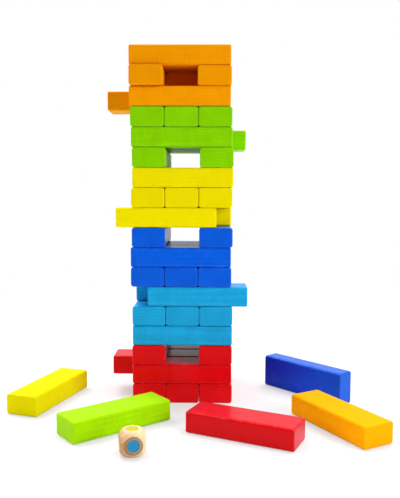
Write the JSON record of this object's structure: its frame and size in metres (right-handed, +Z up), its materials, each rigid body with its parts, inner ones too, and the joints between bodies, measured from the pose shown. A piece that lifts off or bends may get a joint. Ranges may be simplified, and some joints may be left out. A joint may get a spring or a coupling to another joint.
{
  "type": "tumbling tower game",
  "caption": "Tower of painted wooden blocks in bands of colour, some pushed out of line and some pulled out and laid around it, with a plain wooden colour die beside it.",
  "frame": {"origin": "on the floor under the middle of the tower: the centre of the bottom face of the middle block of level 1", "axes": "+Z up the tower, +X to the right and +Y to the back as the picture sees it; odd levels lie along Y and even levels along X"},
  "size_m": [0.2634, 0.2052, 0.2674],
  "materials": {
    "painted_red": "satin",
    "painted_light_blue": "satin",
    "painted_blue": "satin",
    "painted_yellow": "satin",
    "painted_green": "satin",
    "painted_orange": "satin",
    "bare_beech": "matte",
    "spot_paint": "satin"
  },
  "bodies": {
    "level_01_left_red": {"level_01_left_red": "painted_red"},
    "level_01_middle_red": {"level_01_middle_red": "painted_red"},
    "level_01_right_red": {"level_01_right_red": "painted_red"},
    "level_02_front_red": {"level_02_front_red": "painted_red"},
    "level_02_middle_red": {"level_02_middle_red": "painted_red"},
    "level_02_back_red": {"level_02_back_red": "painted_red"},
    "level_03_left_red": {"level_03_left_red": "painted_red"},
    "level_03_right_red": {"level_03_right_red": "painted_red"},
    "level_04_front_light_blue": {"level_04_front_light_blue": "painted_light_blue"},
    "level_04_middle_light_blue": {"level_04_middle_light_blue": "painted_light_blue"},
    "level_04_back_light_blue": {"level_04_back_light_blue": "painted_light_blue"},
    "level_05_left_light_blue": {"level_05_left_light_blue": "painted_light_blue"},
    "level_05_middle_light_blue": {"level_05_middle_light_blue": "painted_light_blue"},
    "level_05_right_light_blue": {"level_05_right_light_blue": "painted_light_blue"},
    "level_06_front_light_blue": {"level_06_front_light_blue": "painted_light_blue"},
    "level_06_middle_light_blue": {"level_06_middle_light_blue": "painted_light_blue"},
    "level_06_back_light_blue": {"level_06_back_light_blue": "painted_light_blue"},
    "level_07_left_blue": {"level_07_left_blue": "painted_blue"},
    "level_07_middle_blue": {"level_07_middle_blue": "painted_blue"},
    "level_07_right_blue": {"level_07_right_blue": "painted_blue"},
    "level_08_front_blue": {"level_08_front_blue": "painted_blue"},
    "level_08_middle_blue": {"level_08_middle_blue": "painted_blue"},
    "level_08_back_blue": {"level_08_back_blue": "painted_blue"},
    "level_09_left_blue": {"level_09_left_blue": "painted_blue"},
    "level_09_right_blue": {"level_09_right_blue": "painted_blue"},
    "level_10_front_yellow": {"level_10_front_yellow": "painted_yellow"},
    "level_10_middle_yellow": {"level_10_middle_yellow": "painted_yellow"},
    "level_10_back_yellow": {"level_10_back_yellow": "painted_yellow"},
    "level_11_left_yellow": {"level_11_left_yellow": "painted_yellow"},
    "level_11_middle_yellow": {"level_11_middle_yellow": "painted_yellow"},
    "level_11_right_yellow": {"level_11_right_yellow": "painted_yellow"},
    "level_12_front_yellow": {"level_12_front_yellow": "painted_yellow"},
    "level_12_back_yellow": {"level_12_back_yellow": "painted_yellow"},
    "level_13_left_green": {"level_13_left_green": "painted_green"},
    "level_13_right_green": {"level_13_right_green": "painted_green"},
    "level_14_front_green": {"level_14_front_green": "painted_green"},
    "level_14_middle_green": {"level_14_middle_green": "painted_green"},
    "level_14_back_green": {"level_14_back_green": "painted_green"},
    "level_15_left_green": {"level_15_left_green": "painted_green"},
    "level_15_middle_green": {"level_15_middle_green": "painted_green"},
    "level_15_right_green": {"level_15_right_green": "painted_green"},
    "level_16_front_orange": {"level_16_front_orange": "painted_orange"},
    "level_16_middle_orange": {"level_16_middle_orange": "painted_orange"},
    "level_16_back_orange": {"level_16_back_orange": "painted_orange"},
    "level_17_left_orange": {"level_17_left_orange": "painted_orange"},
    "level_17_middle_orange": {"level_17_middle_orange": "painted_orange"},
    "level_17_right_orange": {"level_17_right_orange": "painted_orange"},
    "level_18_front_orange": {"level_18_front_orange": "painted_orange"},
    "level_18_middle_orange": {"level_18_middle_orange": "painted_orange"},
    "loose_yellow": {"loose_yellow": "painted_yellow"},
    "loose_green": {"loose_green": "painted_green"},
    "loose_red": {"loose_red": "painted_red"},
    "loose_blue": {"loose_blue": "painted_blue"},
    "loose_orange": {"loose_orange": "painted_orange"},
    "die": {"die": "bare_beech", "die_spots": "spot_paint"}
  },
  "joints": [
    {"name": "level_02_middle_red_slide", "type": "slide", "parent": "level_01_middle_red", "child": "level_02_middle_red", "axis": [1, 0, 0], "range_m": [-0.0614, 0.0386]},
    {"name": "level_06_front_light_blue_slide", "type": "slide", "parent": "level_01_middle_red", "child": "level_06_front_light_blue", "axis": [1, 0, 0], "range_m": [-0.0914, 0.0686]},
    {"name": "level_10_front_yellow_slide", "type": "slide", "parent": "level_01_middle_red", "child": "level_10_front_yellow", "axis": [1, 0, 0], "range_m": [-0.0682, 0.0918]},
    {"name": "level_14_middle_green_slide", "type": "slide", "parent": "level_01_middle_red", "child": "level_14_middle_green", "axis": [1, 0, 0], "range_m": [-0.0912, 0.0688]},
    {"name": "level_16_middle_orange_slide", "type": "slide", "parent": "level_01_middle_red", "child": "level_16_middle_orange", "axis": [1, 0, 0], "range_m": [-0.0604, 0.0996]},
    {"name": "level_17_left_orange_slide", "type": "slide", "parent": "level_01_middle_red", "child": "level_17_left_orange", "axis": [0, 1, 0], "range_m": [-0.077, 0.083]},
    {"name": "level_17_middle_orange_slide", "type": "slide", "parent": "level_01_middle_red", "child": "level_17_middle_orange", "axis": [0, 1, 0], "range_m": [-0.106, 0.054]},
    {"name": "loose_yellow_lift", "type": "slide", "parent": "level_01_middle_red", "child": "loose_yellow", "axis": [0, 0, 1], "range_m": [0, 0.28]},
    {"name": "loose_green_lift", "type": "slide", "parent": "level_01_middle_red", "child": "loose_green", "axis": [0, 0, 1], "range_m": [0, 0.28]},
    {"name": "loose_red_lift", "type": "slide", "parent": "level_01_middle_red", "child": "loose_red", "axis": [0, 0, 1], "range_m": [0, 0.28]},
    {"name": "loose_blue_lift", "type": "slide", "parent": "level_01_middle_red", "child": "loose_blue", "axis": [0, 0, 1], "range_m": [0, 0.28]},
    {"name": "loose_orange_lift", "type": "slide", "parent": "level_01_middle_red", "child": "loose_orange", "axis": [0, 0, 1], "range_m": [0, 0.28]},
    {"name": "die_lift", "type": "slide", "parent": "level_01_middle_red", "child": "die", "axis": [0, 0, 1], "range_m": [0, 0.28]},
    {"name": "level_18_front_orange_slide", "type": "slide", "parent": "level_01_middle_red", "child": "level_18_front_orange", "axis": [1, 0, 0], "range_m": [-0.08, 0.08]},
    {"name": "level_18_middle_orange_slide", "type": "slide", "parent": "level_01_middle_red", "child": "level_18_middle_orange", "axis": [1, 0, 0], "range_m": [-0.08, 0.08]},
    {"name": "level_17_right_orange_slide", "type": "slide", "parent": "level_01_middle_red", "child": "level_17_right_orange", "axis": [0, 1, 0], "range_m": [-0.08, 0.08]},
    {"name": "level_16_front_orange_slide", "type": "slide", "parent": "level_01_middle_red", "child": "level_16_front_orange", "axis": [1, 0, 0], "range_m": [-0.08, 0.08]},
    {"name": "level_16_back_orange_slide", "type": "slide", "parent": "level_01_middle_red", "child": "level_16_back_orange", "axis": [1, 0, 0], "range_m": [-0.08, 0.08]},
    {"name": "level_15_left_green_slide", "type": "slide", "parent": "level_01_middle_red", "child": "level_15_left_green", "axis": [0, 1, 0], "range_m": [-0.08, 0.08]},
    {"name": "level_15_middle_green_slide", "type": "slide", "parent": "level_01_middle_red", "child": "level_15_middle_green", "axis": [0, 1, 0], "range_m": [-0.08, 0.08]},
    {"name": "level_15_right_green_slide", "type": "slide", "parent": "level_01_middle_red", "child": "level_15_right_green", "axis": [0, 1, 0], "range_m": [-0.08, 0.08]},
    {"name": "level_14_front_green_slide", "type": "slide", "parent": "level_01_middle_red", "child": "level_14_front_green", "axis": [1, 0, 0], "range_m": [-0.08, 0.08]},
    {"name": "level_14_back_green_slide", "type": "slide", "parent": "level_01_middle_red", "child": "level_14_back_green", "axis": [1, 0, 0], "range_m": [-0.08, 0.08]},
    {"name": "level_13_left_green_slide", "type": "slide", "parent": "level_01_middle_red", "child": "level_13_left_green", "axis": [0, 1, 0], "range_m": [-0.08, 0.08]},
    {"name": "level_13_right_green_slide", "type": "slide", "parent": "level_01_middle_red", "child": "level_13_right_green", "axis": [0, 1, 0], "range_m": [-0.08, 0.08]},
    {"name": "level_12_front_yellow_slide", "type": "slide", "parent": "level_01_middle_red", "child": "level_12_front_yellow", "axis": [1, 0, 0], "range_m": [-0.08, 0.08]},
    {"name": "level_12_back_yellow_slide", "type": "slide", "parent": "level_01_middle_red", "child": "level_12_back_yellow", "axis": [1, 0, 0], "range_m": [-0.08, 0.08]},
    {"name": "level_11_left_yellow_slide", "type": "slide", "parent": "level_01_middle_red", "child": "level_11_left_yellow", "axis": [0, 1, 0], "range_m": [-0.08, 0.08]},
    {"name": "level_11_middle_yellow_slide", "type": "slide", "parent": "level_01_middle_red", "child": "level_11_middle_yellow", "axis": [0, 1, 0], "range_m": [-0.08, 0.08]},
    {"name": "level_11_right_yellow_slide", "type": "slide", "parent": "level_01_middle_red", "child": "level_11_right_yellow", "axis": [0, 1, 0], "range_m": [-0.08, 0.08]},
    {"name": "level_10_middle_yellow_slide", "type": "slide", "parent": "level_01_middle_red", "child": "level_10_middle_yellow", "axis": [1, 0, 0], "range_m": [-0.08, 0.08]},
    {"name": "level_10_back_yellow_slide", "type": "slide", "parent": "level_01_middle_red", "child": "level_10_back_yellow", "axis": [1, 0, 0], "range_m": [-0.08, 0.08]},
    {"name": "level_09_left_blue_slide", "type": "slide", "parent": "level_01_middle_red", "child": "level_09_left_blue", "axis": [0, 1, 0], "range_m": [-0.08, 0.08]},
    {"name": "level_09_right_blue_slide", "type": "slide", "parent": "level_01_middle_red", "child": "level_09_right_blue", "axis": [0, 1, 0], "range_m": [-0.08, 0.08]},
    {"name": "level_08_front_blue_slide", "type": "slide", "parent": "level_01_middle_red", "child": "level_08_front_blue", "axis": [1, 0, 0], "range_m": [-0.08, 0.08]},
    {"name": "level_08_middle_blue_slide", "type": "slide", "parent": "level_01_middle_red", "child": "level_08_middle_blue", "axis": [1, 0, 0], "range_m": [-0.08, 0.08]},
    {"name": "level_08_back_blue_slide", "type": "slide", "parent": "level_01_middle_red", "child": "level_08_back_blue", "axis": [1, 0, 0], "range_m": [-0.08, 0.08]},
    {"name": "level_07_left_blue_slide", "type": "slide", "parent": "level_01_middle_red", "child": "level_07_left_blue", "axis": [0, 1, 0], "range_m": [-0.08, 0.08]},
    {"name": "level_07_middle_blue_slide", "type": "slide", "parent": "level_01_middle_red", "child": "level_07_middle_blue", "axis": [0, 1, 0], "range_m": [-0.08, 0.08]},
    {"name": "level_07_right_blue_slide", "type": "slide", "parent": "level_01_middle_red", "child": "level_07_right_blue", "axis": [0, 1, 0], "range_m": [-0.08, 0.08]},
    {"name": "level_06_middle_light_blue_slide", "type": "slide", "parent": "level_01_middle_red", "child": "level_06_middle_light_blue", "axis": [1, 0, 0], "range_m": [-0.08, 0.08]},
    {"name": "level_06_back_light_blue_slide", "type": "slide", "parent": "level_01_middle_red", "child": "level_06_back_light_blue", "axis": [1, 0, 0], "range_m": [-0.08, 0.08]},
    {"name": "level_05_left_light_blue_slide", "type": "slide", "parent": "level_01_middle_red", "child": "level_05_left_light_blue", "axis": [0, 1, 0], "range_m": [-0.08, 0.08]},
    {"name": "level_05_middle_light_blue_slide", "type": "slide", "parent": "level_01_middle_red", "child": "level_05_middle_light_blue", "axis": [0, 1, 0], "range_m": [-0.08, 0.08]},
    {"name": "level_05_right_light_blue_slide", "type": "slide", "parent": "level_01_middle_red", "child": "level_05_right_light_blue", "axis": [0, 1, 0], "range_m": [-0.08, 0.08]},
    {"name": "level_04_front_light_blue_slide", "type": "slide", "parent": "level_01_middle_red", "child": "level_04_front_light_blue", "axis": [1, 0, 0], "range_m": [-0.08, 0.08]},
    {"name": "level_04_middle_light_blue_slide", "type": "slide", "parent": "level_01_middle_red", "child": "level_04_middle_light_blue", "axis": [1, 0, 0], "range_m": [-0.08, 0.08]},
    {"name": "level_04_back_light_blue_slide", "type": "slide", "parent": "level_01_middle_red", "child": "level_04_back_light_blue", "axis": [1, 0, 0], "range_m": [-0.08, 0.08]},
    {"name": "level_03_left_red_slide", "type": "slide", "parent": "level_01_middle_red", "child": "level_03_left_red", "axis": [0, 1, 0], "range_m": [-0.08, 0.08]},
    {"name": "level_03_right_red_slide", "type": "slide", "parent": "level_01_middle_red", "child": "level_03_right_red", "axis": [0, 1, 0], "range_m": [-0.08, 0.08]},
    {"name": "level_02_front_red_slide", "type": "slide", "parent": "level_01_middle_red", "child": "level_02_front_red", "axis": [1, 0, 0], "range_m": [-0.08, 0.02]},
    {"name": "level_02_back_red_slide", "type": "slide", "parent": "level_01_middle_red", "child": "level_02_back_red", "axis": [1, 0, 0], "range_m": [-0.08, 0.02]},
    {"name": "level_01_left_red_slide", "type": "slide", "parent": "level_01_middle_red", "child": "level_01_left_red", "axis": [0, 1, 0], "range_m": [-0.01, 0.08]},
    {"name": "level_01_right_red_slide", "type": "slide", "parent": "level_01_middle_red", "child": "level_01_right_red", "axis": [0, 1, 0], "range_m": [-0.01, 0.08]}
  ]
}
